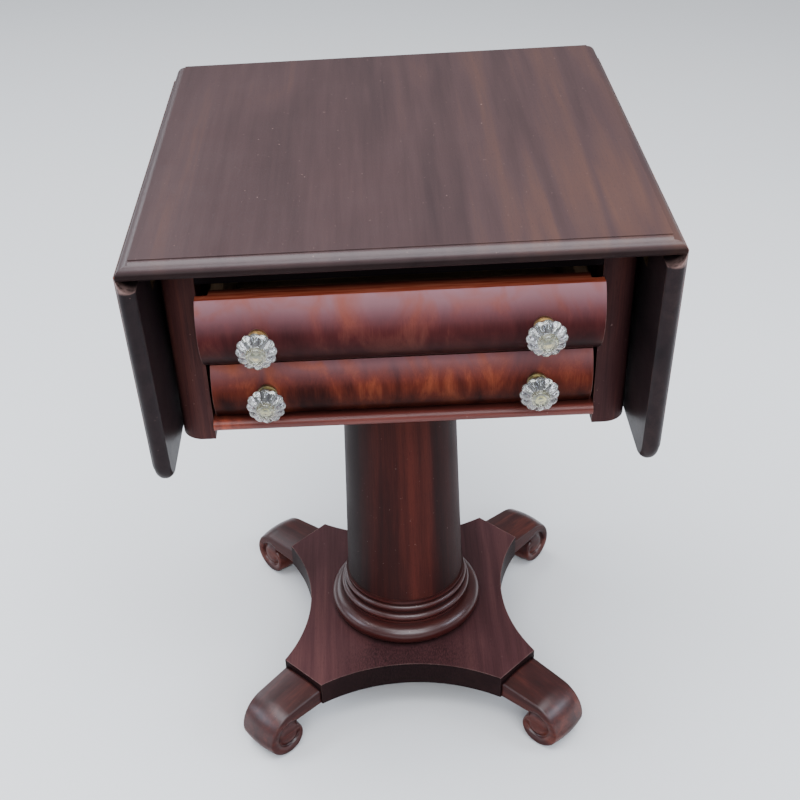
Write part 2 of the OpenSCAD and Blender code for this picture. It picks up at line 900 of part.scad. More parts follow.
top_board();
left_side_panel();
right_side_panel();
back_panel();
front_left_post();
front_right_post();
back_left_post();
back_right_post();
bottom_rail();
drawer_divider();
top_rail();
case_bottom();
lower_runners();
upper_runners();
kickers();
slide_guides();
left_leaf_slide();
right_leaf_slide();
top_cleats();
top_screws();
hinge_plates();
hinge_pins();
hinge_screws();
bearer();
bearer_screws();
column();
base_ring();
platform();
front_left_foot();
front_right_foot();
back_left_foot();
back_right_foot();
foot_dowels();
left_leaf();
left_leaf_plates();
left_leaf_screws();
right_leaf();
right_leaf_plates();
right_leaf_screws();
upper_front();
upper_left_side();
upper_right_side();
upper_back();
upper_bottom();
upper_knobs();
upper_collars();
upper_bolts();
lower_front();
lower_left_side();
lower_right_side();
lower_back();
lower_bottom();
lower_knobs();
lower_collars();
lower_bolts();
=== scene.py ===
import math

import bmesh
import bpy
from mathutils import Matrix, Vector
from mathutils.geometry import delaunay_2d_cdt


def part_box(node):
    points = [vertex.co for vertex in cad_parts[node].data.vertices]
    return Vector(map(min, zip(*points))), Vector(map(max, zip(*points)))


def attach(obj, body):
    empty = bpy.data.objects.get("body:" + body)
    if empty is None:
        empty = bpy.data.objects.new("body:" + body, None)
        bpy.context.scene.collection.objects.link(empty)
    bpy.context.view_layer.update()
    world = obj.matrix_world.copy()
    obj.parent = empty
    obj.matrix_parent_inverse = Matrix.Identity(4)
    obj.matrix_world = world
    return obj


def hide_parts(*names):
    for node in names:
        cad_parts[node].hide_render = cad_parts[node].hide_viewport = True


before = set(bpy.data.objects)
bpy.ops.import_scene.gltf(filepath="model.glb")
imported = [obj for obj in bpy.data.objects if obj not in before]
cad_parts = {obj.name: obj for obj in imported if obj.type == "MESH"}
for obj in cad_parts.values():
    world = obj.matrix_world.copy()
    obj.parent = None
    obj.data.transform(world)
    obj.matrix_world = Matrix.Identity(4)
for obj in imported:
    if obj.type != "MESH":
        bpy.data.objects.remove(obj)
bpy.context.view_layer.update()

MM = 0.001

# ---- camera, at the photograph's viewing angle ----

CAMERA_PLACE = (-0.017559, -1.259111, 1.244463)
CAMERA_YAW = math.radians(2.394)
CAMERA_PITCH = math.radians(37.715)
CAMERA_ROLL = math.radians(-3.899)
CAMERA_LENS = 55.886
CAMERA_SENSOR = 36
CAMERA_SHIFT = (0.0654, 0.1129)

# ---- colours, linear ----

TOP_DARK = (0.031, 0.017, 0.018)
TOP_MID = (0.053, 0.029, 0.029)
TOP_LIGHT = (0.086, 0.041, 0.031)
# Leaf, post and column colours are darker than the top's: painted shade for their upright faces
LEAF_DARK = (0.010, 0.007, 0.008)
LEAF_MID = (0.017, 0.011, 0.012)
LEAF_LIGHT = (0.030, 0.018, 0.018)
POST_DARK = (0.014, 0.006, 0.007)
POST_MID = (0.042, 0.016, 0.016)
POST_LIGHT = (0.092, 0.031, 0.024)
COLUMN_DARK = (0.012, 0.006, 0.006)
COLUMN_MID = (0.030, 0.008, 0.007)
COLUMN_LIGHT = (0.070, 0.015, 0.011)
RAIL_DARK = (0.040, 0.008, 0.007)
RAIL_MID = (0.105, 0.022, 0.017)
RAIL_LIGHT = (0.220, 0.052, 0.036)
BASE_DARK = (0.030, 0.011, 0.012)
BASE_MID = (0.070, 0.026, 0.028)
BASE_LIGHT = (0.120, 0.046, 0.044)
FOOT_DARK = (0.015, 0.004, 0.004)
FOOT_MID = (0.042, 0.010, 0.009)
FOOT_LIGHT = (0.110, 0.027, 0.018)
PLUM_DARK = (0.030, 0.006, 0.007)
PLUM_MID = (0.072, 0.014, 0.014)
PLUM_LIGHT = (0.150, 0.040, 0.030)
FLAME_DARK = (0.026, 0.005, 0.004)
FLAME_MID = (0.112, 0.020, 0.011)
FLAME_LIGHT = (0.270, 0.064, 0.028)
RAW_DARK = (0.280, 0.040, 0.018)
RAW_MID = (0.440, 0.085, 0.042)
RAW_LIGHT = (0.600, 0.165, 0.095)
POPLAR_DARK = (0.085, 0.045, 0.024)
POPLAR_MID = (0.160, 0.095, 0.050)
POPLAR_LIGHT = (0.260, 0.170, 0.095)
# How much lighter a leaf's outer face is than its edges, which keep the darker colours of painted shade
OUTER_FACE_GAIN = (3.1, 2.6, 2.4)
# Pink and orange painted sheen for the upper part of the drawer fronts
PAINTED_SHEEN = (0.500, 0.250, 0.280)
PAINTED_WARM_SHEEN = (0.520, 0.150, 0.100)
WORN_WOOD = (0.230, 0.105, 0.070)
WORN_PALE = (0.330, 0.205, 0.180)
# A near-black colour for painted shade in corners, hollows and on faces turned away from the light
PAINTED_SHADE = (0.006, 0.004, 0.004)
CRACKLE_DARK = (0.012, 0.006, 0.006)
GLASS_CLEAR = (0.98, 0.99, 0.98)
GLASS_HAZY = (0.88, 0.90, 0.88)
GLASS_VALLEY_SHADE = (0.42, 0.38, 0.44)
GLASS_BUTTON = (0.88, 0.90, 0.68)
FLOOR_TONES = ((0.80, 0.80, 0.80), (0.83, 0.83, 0.83))
# Metals: bright, dull and tarnished
HINGE_BRASS = ((0.24, 0.17, 0.08), (0.10, 0.07, 0.04), (0.03, 0.02, 0.01))
GOLD_BRASS = ((0.78, 0.60, 0.34), (0.44, 0.32, 0.17), (0.10, 0.06, 0.03))
OLIVE_BRASS = ((0.50, 0.44, 0.26), (0.26, 0.23, 0.15), (0.06, 0.05, 0.03))
IRON = ((0.45, 0.43, 0.40), (0.16, 0.13, 0.11), (0.05, 0.03, 0.02))

# ---- where a finish fades in: from one place to another along an axis or a radius, in metres ----

TOP_WARM_X = (-0.02, 0.19)
TOP_STRIPED_X = (-0.10, 0.12)
NOSE_Z = (0.7255, 0.7300)
LEAF_FACE_X = (0.2545, 0.2555)
COVE_FRONT_Y = (-0.246, -0.252)
COVE_LOW_Z = (0.706, 0.709)
COVE_HIGH_Z = (0.719, 0.716)
RAIL_END_X = (-0.150, -0.185)
STRIP_SHADE_Y = (-0.203, -0.190)
COLUMN_LEFT_X = (-0.052, -0.016)
COLUMN_RIGHT_X = (0.030, 0.040)
CRACKLE_FRONT_Y = (-0.075, -0.135)
CRACKLE_SIDE_X = (0.105, 0.045)
KNOB_VALLEY_R = (0.010, 0.012)
KNOB_BUTTON_R = (0.0105, 0.0090)


class Graph:
    """One material's node tree, with a short call for each kind of node it uses."""

    def __init__(self, name):
        self.material = bpy.data.materials.new(name)
        self.material.use_nodes = True
        self.tree = self.material.node_tree
        self.shader = self.tree.nodes["Principled BSDF"]

    def put(self, socket, value):
        """Links another socket to this one, or gives it a plain value."""
        if isinstance(value, bpy.types.NodeSocket):
            self.tree.links.new(value, socket)
        else:
            socket.default_value = value

    def add(self, kind, inputs=None, **settings):
        node = self.tree.nodes.new("ShaderNode" + kind)
        for key, value in settings.items():
            setattr(node, key, value)
        for key, value in (inputs or {}).items():
            self.put(node.inputs[key], value)
        return node

    def set(self, **values):
        """Values on the shader itself, with underscores for the spaces in a socket's name."""
        for key, value in values.items():
            self.put(self.shader.inputs[key.replace("_", " ")], value)

    def cells(self, size, shift=(0, 0, 0), turn=(0, 0, 0)):
        """The object's own coordinates, counted in cells of a size in millimetres."""
        where = self.add("TexCoord").outputs["Object"]
        scale = [1000 / s for s in size]
        return self.add("Mapping", {"Vector": where, "Scale": scale, "Location": shift,
                                    "Rotation": turn}).outputs["Vector"]

    def noise(self, size, detail=2, rough=0.5, bend=0, shift=(0, 0, 0), turn=(0, 0, 0)):
        return self.add("TexNoise", {"Vector": self.cells(size, shift, turn), "Scale": 1, "Detail": detail,
                                     "Roughness": rough, "Distortion": bend}).outputs["Fac"]

    def blotches(self, size, detail=4, rough=0.6):
        """Noise of the same size every way."""
        return self.noise((size, size, size), detail, rough)

    def place(self, axis):
        """One of the object's own coordinates, in metres."""
        return self.add("SeparateXYZ", {"Vector": self.add("TexCoord").outputs["Object"]}).outputs[axis]

    def upward(self):
        """The height part of the surface's direction: 1 on an upper face, 0 on an upright one."""
        return self.add("SeparateXYZ", {"Vector": self.add("NewGeometry").outputs["Normal"]}).outputs["Z"]

    def specks(self):
        """A few tiny pale chips in the finish."""
        chips = self.span(self.blotches(3.2, 2, 0.5), 0.745, 0.775)
        return self.math("MULTIPLY", chips, 0.5)

    def math(self, operation, first, second=0.5, third=0.5):
        return self.add("Math", {0: first, 1: second, 2: third}, operation=operation).outputs[0]

    def span(self, value, low, high, to_low=0, to_high=1):
        return self.add("MapRange", {"Value": value, "From Min": low, "From Max": high, "To Min": to_low,
                                     "To Max": to_high}).outputs["Result"]

    def mix(self, share, first, second, blend="MIX"):
        node = self.add("Mix", data_type="RGBA", blend_type=blend)
        self.put(node.inputs[0], share)
        self.put(node.inputs[6], first if isinstance(first, bpy.types.NodeSocket) else (*first, 1))
        self.put(node.inputs[7], second if isinstance(second, bpy.types.NodeSocket) else (*second, 1))
        return node.outputs[2]

    def ramp(self, value, *stops):
        """A colour ramp through (place, colour) stops."""
        node = self.add("ValToRGB", {"Fac": value})
        while len(node.color_ramp.elements) < len(stops):
            node.color_ramp.elements.new(1)
        for element, (place, colour) in zip(node.color_ramp.elements, stops):
            element.position = place
            element.color = (*colour, 1)
        return node.outputs["Color"]

    def edge(self, radius):
        """From 0 on a flat face to 1 on an arris, within a radius in millimetres."""
        rounded = self.add("Bevel", {"Radius": radius * MM}, samples=4).outputs["Normal"]
        flat = self.add("NewGeometry").outputs["Normal"]
        along = self.add("VectorMath", {0: rounded, 1: flat}, operation="DOT_PRODUCT").outputs["Value"]
        return self.span(along, 0.995, 0.86)

    def crevice(self, reach):
        """From 0 in the open to 1 deep in a corner, within a reach in millimetres."""
        open_share = self.add("AmbientOcclusion", {"Distance": reach * MM}, samples=6).outputs["AO"]
        return self.span(open_share, 0.75, 0.25)

    def bump(self, height, strength, depth):
        return self.add("Bump", {"Height": height, "Strength": strength,
                                 "Distance": depth * MM}).outputs["Normal"]


# Lobes of a glass knob
LOBES = 12

# How far the veneer's plumes lean from upright, in degrees
PLUME_LEAN = 38
# Cells of the veneer's figure as X, Y and Z sizes, in millimetres
PLUME = (46, 46, 120)
FLICKER = (10, 10, 45)
FIBRE = (1.0, 1.0, 40)
FINE_PORE = (0.5, 0.5, 5)
VENEER_ROUGH = 0.36

# A cell of each layer of grain: size across the grain and along it, in millimetres
CLOUD = (75, 420)
RIBBON = (11, 300)
STREAK = (1.6, 70)
PORE = (0.5, 9)


def grain_size(layer, along):
    """The layer's cell as X, Y and Z sizes, for grain along axis 0, 1 or 2."""
    size = [layer[0]] * 3
    size[along] = layer[1]
    return size


def grain_layers(g, along, cloud, ribbon, bend, shift):
    """Noises stretched along the grain, from coarse clouds to fine pores."""
    clouds = g.noise(grain_size(cloud, along), 3, 0.5, bend, shift)
    ribbons = g.noise(grain_size(ribbon, along), 3, 0.5, bend, shift)
    streaks = g.noise(grain_size(STREAK, along), 4, 0.65, 0.2, shift)
    pores = g.span(g.noise(grain_size(PORE, along), 1, 0.5, 0, shift), 0.60, 0.72)
    return clouds, ribbons, streaks, pores


def wood(name, along, colours, cloud=CLOUD, ribbon=RIBBON, weights=(0.5, 0.3, 0.2), bend=0.6,
         shift=(0, 0, 0), rough=0.34, coat=0.35, gloss=0.4, wear=0.5, worn=WORN_WOOD, corner_shade=0.7,
         contrast=0.16, tone=None, extra=None):
    """Polished mahogany with worn arrises and painted shade in the corners.

    The weights share the figure between clouds, ribbons and streaks, and the contrast says how little of it
    spans the three colours. A tone is added to the figure, an extra changes the colour, and the gloss is a
    value or a function of the graph.
    """
    g = Graph(name)
    clouds, ribbons, streaks, pores = grain_layers(g, along, cloud, ribbon, bend, shift)
    figure = g.math("MULTIPLY", clouds, weights[0])
    figure = g.math("MULTIPLY_ADD", ribbons, weights[1], figure)
    figure = g.math("MULTIPLY_ADD", streaks, weights[2], figure)
    if tone:
        figure = g.math("ADD", figure, tone(g))
    figure = g.span(figure, 0.5 - contrast, 0.5 + contrast)
    colour = g.ramp(figure, (0.0, colours[0]), (0.5, colours[1]), (1.0, colours[2]))
    colour = g.mix(g.math("MULTIPLY", pores, 0.4), colour, colours[0])
    colour = g.mix(g.specks(), colour, WORN_PALE)
    patches = g.span(g.blotches(14), 0.42, 0.62)
    edge = g.math("MULTIPLY", g.edge(1.0), patches)
    colour = g.mix(g.math("MULTIPLY", edge, wear), colour, worn)
    if extra:
        colour = extra(g, colour)
    # Painted shade: darker in corners and hollows, by ambient occlusion
    colour = g.mix(g.math("MULTIPLY", g.crevice(9), corner_shade), colour, PAINTED_SHADE)
    smears = g.blotches(60)
    roughness = g.math("MULTIPLY_ADD", smears, 0.16, rough - 0.08)
    roughness = g.math("MULTIPLY_ADD", pores, 0.10, roughness)
    roughness = g.math("MULTIPLY_ADD", edge, 0.12, roughness)
    relief = g.math("MULTIPLY_ADD", pores, -0.6, g.math("MULTIPLY", streaks, 0.5))
    g.set(Base_Color=colour, Roughness=roughness, Normal=g.bump(relief, 0.35, 0.12), IOR=1.5,
          Specular_IOR_Level=gloss(g) if callable(gloss) else gloss, Coat_Weight=coat, Coat_Roughness=0.2)
    return g.material


def top_tone(g):
    """The wood of the top is warmer and striped front to back right of the middle, calmer at the left."""
    across = g.place("X")
    right = g.span(across, *TOP_WARM_X, -0.05, 0.09)
    stripes = g.noise((30, 520, 30), 1, 0.4, 0.8, (3.1, 0, 0))
    stripes = g.span(stripes, 0.38, 0.62, -0.09, 0.09)
    return g.math("MULTIPLY_ADD", stripes, g.span(across, *TOP_STRIPED_X, 0.15, 1), right)


def top_gloss(g):
    """The top's face and the upper half of its nose shine; the lower half is dull."""
    return g.span(g.place("Z"), *NOSE_Z, 0.02, 0.42)


def nose_painted_shade(g, colour):
    """Painted shade darkens the lower half of the top's nose."""
    # Painted shade on the downward-facing half of the nose
    return g.mix(g.span(g.place("Z"), *reversed(NOSE_Z), 0, 0.75), colour, PAINTED_SHADE)


def platform_gloss(g):
    """The platform's upper face is satin and its sides are dull."""
    return g.span(g.upward(), 0.1, 0.6, 0.02, 0.25)


def rounded_gloss(g):
    """The ring and the feet shine on the parts that face up and are dull on the upright ones."""
    return g.span(g.upward(), 0.05, 0.60, 0.08, 0.60)


def column_tone(g):
    """The column's front is a red band between darker flanks."""
    across = g.place("X")
    left = g.span(across, *COLUMN_LEFT_X, -0.09, 0.05)
    right = g.span(across, *COLUMN_RIGHT_X, 0, -0.16)
    return g.math("ADD", left, right)


def crackled(g, colour):
    """The platform is dark and finely crackled before the ring, darkened by painted shade on its sides and
    worn at its rim.
    """
    crackle = g.span(g.noise((1.4, 4.5, 4), 5, 0.7, 0.6), 0.40, 0.60)
    spread = g.math("SUBTRACT", g.place("Y"), g.math("MULTIPLY", g.blotches(40, 3, 0.5), 0.05))
    front = g.span(spread, *CRACKLE_FRONT_Y)
    side = g.span(g.math("ABSOLUTE", g.place("X")), *CRACKLE_SIDE_X)
    dark = g.mix(crackle, CRACKLE_DARK, BASE_MID)
    colour = g.mix(g.math("MULTIPLY", g.math("MULTIPLY", front, side), 0.85), colour, dark)
    # Painted shade on the upright faces
    colour = g.mix(g.span(g.upward(), 0.6, 0.1, 0, 0.85), colour, PAINTED_SHADE)
    rim = g.math("MULTIPLY", g.edge(2.4), g.span(g.upward(), 0.6, 0.9))
    rim = g.math("MULTIPLY", rim, g.span(g.blotches(20), 0.35, 0.60))
    return g.mix(g.math("MULTIPLY", rim, 0.5), colour, WORN_PALE)


def cove_wear_and_highlight(g, colour):
    """Pale wood at the front tips of a leaf's cove: worn at the arris, and a painted highlight where the
    cove catches light.
    """
    rub = g.span(g.blotches(6), 0.30, 0.50)
    front = g.span(g.place("Y"), *COVE_FRONT_Y)
    high = g.math("MULTIPLY", g.span(g.place("Z"), *COVE_LOW_Z), g.span(g.place("Z"), *COVE_HIGH_Z))
    mask = g.math("MULTIPLY", g.math("MULTIPLY", front, high), rub)
    # Partly wear, partly painted highlight
    return g.mix(g.math("MULTIPLY", mask, 0.55), colour, WORN_PALE)


def leaf_finish(g, colour):
    """A leaf's outer face is lightened towards the top's colour; its edges and its inner face keep the
    darker colours that paint shade.
    """
    face = g.span(g.math("ABSOLUTE", g.place("X")), *LEAF_FACE_X)
    outer_colour = g.mix(1.0, colour, OUTER_FACE_GAIN, "MULTIPLY")
    return cove_wear_and_highlight(g, g.mix(face, colour, outer_colour))


def worn_end(g, colour):
    """The rail's nose is rubbed back to orange wood at its left end."""
    rub = g.span(g.blotches(9), 0.35, 0.60)
    left = g.span(g.place("X"), *RAIL_END_X)
    return g.mix(g.math("MULTIPLY", g.math("MULTIPLY", left, rub), 0.5), colour, RAW_MID)


def plume_figure(g, contrast, shift):
    """The veneer's leaning plumes, as they are and mixed with flicker and fibres into the whole figure."""
    lean = (0, math.radians(PLUME_LEAN), 0)
    plumes = g.noise(PLUME, 3, 0.5, 1.2, shift, lean)
    flicker = g.noise(FLICKER, 3, 0.55, 0.8, shift, lean)
    fibres = g.noise(FIBRE, 3, 0.6, 0.2, shift)
    figure = g.math("MULTIPLY", plumes, 0.66)
    figure = g.math("MULTIPLY_ADD", flicker, 0.22, figure)
    figure = g.math("MULTIPLY_ADD", fibres, 0.12, figure)
    return plumes, fibres, g.span(figure, 0.5 - contrast, 0.5 + contrast)


def bare_strip(g, colour, top):
    """The level strip along a front's upper edge is bare orange wood, with painted shade at the back."""
    bare = g.span(g.place("Z"), top - 2 * MM, top - MM)
    bare = g.math("MULTIPLY", g.span(g.upward(), 0.90, 0.97), bare)
    raw = g.ramp(g.noise((60, 3, 3), 3, 0.6, 0.3), (0.3, RAW_DARK), (0.5, RAW_MID), (0.7, RAW_LIGHT))
    # Painted shade at the back of the strip, under the top rail
    raw = g.mix(g.span(g.place("Y"), *STRIP_SHADE_Y, 0, 0.92), raw, PAINTED_SHADE)
    return g.mix(bare, colour, raw)


def veneer(name, colours, bottom, top, shade, sheen_share, contrast, shift):
    """Crotch veneer on a drawer front: a painted sheen on its upper part, painted shade towards its lower
    edge and a bare upper edge.
    """
    g = Graph(name)
    height = top - bottom
    plumes, fibres, figure = plume_figure(g, contrast, shift)
    colour = g.ramp(figure, (0.0, colours[0]), (0.5, colours[1]), (1.0, colours[2]))
    pores = g.span(g.noise(FINE_PORE, 1), 0.6, 0.72)
    colour = g.mix(g.math("MULTIPLY", pores, 0.3), colour, colours[0])
    # Painted sheen: the upper part of the front is lightened towards pink and orange
    high = g.span(g.place("Z"), bottom + 0.50 * height, bottom + 0.98 * height)
    high = g.math("MULTIPLY", g.math("POWER", high, 2.2), sheen_share)
    sheen_tint = g.mix(g.span(plumes, 0.44, 0.74), PAINTED_SHEEN, PAINTED_WARM_SHEEN)
    colour = g.mix(high, colour, sheen_tint)
    # Painted shade: the lower part of the front is darkened
    low = g.span(g.place("Z"), bottom + 0.66 * height, bottom + 0.12 * height, 0, shade)
    colour = g.mix(low, colour, tuple(0.15 * c for c in colours[0]))
    edge = g.math("MULTIPLY", g.edge(0.9), g.span(g.blotches(12), 0.35, 0.6))
    colour = g.mix(g.math("MULTIPLY", edge, 0.6), colour, WORN_PALE)
    colour = bare_strip(g, colour, top)
    # Painted shade in corners and hollows, by ambient occlusion
    colour = g.mix(g.math("MULTIPLY", g.crevice(8), 0.7), colour, PAINTED_SHADE)
    roughness = g.math("MULTIPLY_ADD", g.blotches(50), 0.12, VENEER_ROUGH - 0.06)
    relief = g.math("MULTIPLY_ADD", pores, -0.5, g.math("MULTIPLY", fibres, 0.4))
    g.set(Base_Color=colour, Roughness=roughness, Normal=g.bump(relief, 0.3, 0.1), IOR=1.5,
          Specular_IOR_Level=0.04)
    return g.material


def bare_wood(name, along):
    """Unfinished secondary wood: yellow brown, dusty, with painted shade in the corners."""
    g = Graph(name)
    clouds = g.noise(grain_size((50, 500), along), 3, 0.5, 0.8)
    rings = g.noise(grain_size((6, 260), along), 4, 0.6, 0.6)
    streaks = g.noise(grain_size(STREAK, along), 4, 0.65)
    figure = g.math("MULTIPLY_ADD", rings, 0.4, g.math("MULTIPLY", clouds, 0.35))
    figure = g.span(g.math("MULTIPLY_ADD", streaks, 0.25, figure), 0.36, 0.64)
    colour = g.ramp(figure, (0.0, POPLAR_DARK), (0.5, POPLAR_MID), (1.0, POPLAR_LIGHT))
    stains = g.span(g.blotches(38, 5, 0.65), 0.55, 0.75, 0, 0.4)
    colour = g.mix(stains, colour, POPLAR_DARK)
    # Painted shade in corners, by ambient occlusion
    colour = g.mix(g.math("MULTIPLY", g.crevice(14), 0.6), colour, PAINTED_SHADE)
    roughness = g.math("MULTIPLY_ADD", streaks, 0.2, 0.6)
    g.set(Base_Color=colour, Roughness=roughness, Normal=g.bump(streaks, 0.4, 0.2), IOR=1.45)
    return g.material


def metal(name, colours, rough, amount):
    """Old metal: bright where it is rubbed, tarnished in patches and corners."""
    bright, dull, tarnish = colours
    g = Graph(name)
    patches = g.span(g.blotches(4, 5, 0.65), 0.5 - amount, 0.62)
    fine = g.blotches(0.7, 3)
    colour = g.mix(patches, bright, dull)
    colour = g.mix(g.math("MULTIPLY", g.crevice(2.5), 0.8), colour, tarnish)
    colour = g.mix(g.math("MULTIPLY", g.edge(0.5), 0.5), colour, bright)
    roughness = g.math("MULTIPLY_ADD", patches, 0.22, rough)
    g.set(Base_Color=colour, Metallic=1.0, Roughness=roughness, Normal=g.bump(fine, 0.25, 0.05))
    return g.material


def pressed_glass(name):
    """Clear old glass, with painted shade in the valleys between the lobes, and yellower at the button."""
    g = Graph(name)
    haze = g.blotches(2.5, 3)
    out = g.math("SQRT", g.math("ADD", g.math("POWER", g.place("X"), 2), g.math("POWER", g.place("Y"), 2)))
    turn = g.math("ARCTAN2", g.place("Y"), g.place("X"))
    lobe = g.math("ABSOLUTE", g.math("COSINE", g.math("MULTIPLY", turn, LOBES / 2)))
    # Painted shade: the valleys between the lobes are tinted darker, for the glass's dark facets
    valley_shade = g.math("MULTIPLY", g.span(lobe, 0.55, 0.05), g.span(out, *KNOB_VALLEY_R))
    tint = g.mix(g.span(haze, 0.4, 0.7), GLASS_CLEAR, GLASS_HAZY)
    tint = g.mix(valley_shade, tint, GLASS_VALLEY_SHADE)
    tint = g.mix(g.span(out, *KNOB_BUTTON_R), tint, GLASS_BUTTON)
    roughness = g.span(haze, 0.35, 0.75, 0.01, 0.07)
    g.set(Base_Color=tint, Roughness=roughness, Transmission_Weight=0.88, IOR=1.5,
          Normal=g.bump(haze, 0.15, 0.15), Coat_Weight=0.6, Coat_Roughness=0.03)
    return g.material


def floor_finish(name):
    """A matt pale floor."""
    g = Graph(name)
    tone = g.mix(g.blotches(900, 2, 0.5), *FLOOR_TONES)
    g.set(Base_Color=tone, Roughness=0.85, Specular_IOR_Level=0.2)
    return g.material


# ---- finishes of the CAD nodes ----

TOP_WOODS = (TOP_DARK, TOP_MID, TOP_LIGHT)
LEAF_WOODS = (LEAF_DARK, LEAF_MID, LEAF_LIGHT)
POST_WOODS = (POST_DARK, POST_MID, POST_LIGHT)
SHADED_WOODS = (PAINTED_SHADE, LEAF_DARK, LEAF_MID)
COLUMN_WOODS = (COLUMN_DARK, COLUMN_MID, COLUMN_LIGHT)
RAIL_WOODS = (RAIL_DARK, RAIL_MID, RAIL_LIGHT)
BASE_WOODS = (BASE_DARK, BASE_MID, BASE_LIGHT)
FOOT_WOODS = (FOOT_DARK, FOOT_MID, FOOT_LIGHT)
RING_WOODS = (FOOT_MID, RAIL_DARK, RAIL_MID)
PLUM_VENEER = (PLUM_DARK, PLUM_MID, PLUM_LIGHT)
FLAME_VENEER = (FLAME_DARK, FLAME_MID, FLAME_LIGHT)


def dress(material, *names):
    """Gives CAD nodes a finish, in every material slot they have."""
    for name in names:
        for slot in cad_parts[name].material_slots:
            slot.material = material


def finish_front(drawer, colours, shade, sheen_share, contrast, shift):
    low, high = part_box(drawer + "_front")
    finish = veneer(drawer + "_veneer", colours, low.z, high.z, shade, sheen_share, contrast, shift)
    dress(finish, drawer + "_front")


def finish_case():
    dress(wood("top_wood", 1, TOP_WOODS, weights=(0.55, 0.24, 0.16), tone=top_tone, rough=0.36, coat=0.0,
               gloss=top_gloss, wear=0.2, contrast=0.28, extra=nose_painted_shade), "top_board")
    dress(wood("left_leaf_wood", 1, LEAF_WOODS, shift=(4.2, 0, 1.3), coat=0.0, gloss=0.08,
               extra=leaf_finish), "left_leaf")
    dress(wood("right_leaf_wood", 1, LEAF_WOODS, shift=(7.9, 0, 5.7), coat=0.0, gloss=0.08,
               extra=leaf_finish), "right_leaf")
    posts = ("front_left_post", "front_right_post", "back_left_post", "back_right_post")
    dress(wood("post_wood", 2, POST_WOODS, ribbon=(9, 260), rough=0.46, coat=0.0, gloss=0.06), *posts)
    dress(wood("panel_wood", 1, POST_WOODS, shift=(0, 0, 3.3)), "left_side_panel", "right_side_panel",
          "left_leaf_slide", "right_leaf_slide")
    dress(wood("rail_wood", 0, RAIL_WOODS, coat=0.1, gloss=0.25, wear=0.7, extra=worn_end), "bottom_rail")
    dress(wood("back_wood", 0, POST_WOODS, shift=(2.1, 0, 0)), "back_panel")
    # Painted shade: the top rail, kickers and cleats are near black for the shadow under the top
    dress(wood("top_rail_wood", 0, SHADED_WOODS, rough=0.6, coat=0.0, gloss=0.02, wear=0.0), "top_rail",
          "kickers", "top_cleats")
    # After the colours: how much painted shade and painted sheen, the figure's contrast and its shift
    finish_front("upper", PLUM_VENEER, 0.98, 0.85, 0.17, (1.7, 0, 0.4))
    finish_front("lower", FLAME_VENEER, 0.85, 0.42, 0.15, (0.3, 0, 1.9))


def finish_pedestal():
    dress(wood("column_wood", 2, COLUMN_WOODS, cloud=(60, 800), ribbon=(10, 600), bend=0.3, rough=0.48,
               coat=0.0, gloss=0.06, tone=column_tone), "column")
    dress(wood("ring_wood", 0, RING_WOODS, wear=0.06, rough=0.36, coat=0.25, gloss=rounded_gloss,
               contrast=0.34), "base_ring")
    dress(wood("platform_wood", 1, BASE_WOODS, rough=0.38, coat=0.0, gloss=platform_gloss, wear=1.0,
               worn=WORN_PALE, extra=crackled), "platform")


def finish_inner_parts():
    dress(bare_wood("poplar_across", 0), "drawer_divider", "case_bottom", "slide_guides", "bearer",
          "foot_dowels", "upper_back", "lower_back", "upper_bottom", "lower_bottom")
    dress(bare_wood("poplar_deep", 1), "lower_runners", "upper_runners", "upper_left_side",
          "upper_right_side", "lower_left_side", "lower_right_side")


def finish_metal():
    brass = metal("hinge_brass", HINGE_BRASS, 0.42, 0.06)
    dress(brass, "hinge_plates", "hinge_screws", "left_leaf_plates", "left_leaf_screws", "right_leaf_plates",
          "right_leaf_screws")
    gold = metal("upper_collar_brass", GOLD_BRASS, 0.28, 0.02)
    dress(gold, "upper_collars")
    olive = metal("lower_collar_brass", OLIVE_BRASS, 0.32, 0.02)
    dress(olive, "lower_collars")
    iron = metal("iron", IRON, 0.42, 0.06)
    dress(iron, "hinge_pins", "top_screws", "bearer_screws", "upper_bolts", "lower_bolts")


# ---- mesh helpers ----


def new_object(name, bm, material):
    mesh = bpy.data.meshes.new(name)
    bmesh.ops.recalc_face_normals(bm, faces=bm.faces)
    bm.to_mesh(mesh)
    bm.free()
    mesh.materials.append(material)
    obj = bpy.data.objects.new(name, mesh)
    bpy.context.scene.collection.objects.link(obj)
    return obj


def ring_of(bm, points):
    return [bm.verts.new(p) for p in points]


def bridge(bm, first, second):
    """Quads between two closed rows of vertices of the same length."""
    count = len(first)
    for i in range(count):
        j = (i + 1) % count
        face = bm.faces.new((first[i], first[j], second[j], second[i]))
        face.smooth = True


def cap(bm, row, centre):
    """A fan from a closed row to one point."""
    middle = bm.verts.new(centre)
    for i, vert in enumerate(row):
        face = bm.faces.new((vert, row[(i + 1) % len(row)], middle))
        face.smooth = True


# ---- glass knobs ----

STEPS_PER_LOBE = 8
# An edge this near to a valley between two lobes is sharp, in degrees
VALLEY_REACH = 0.5
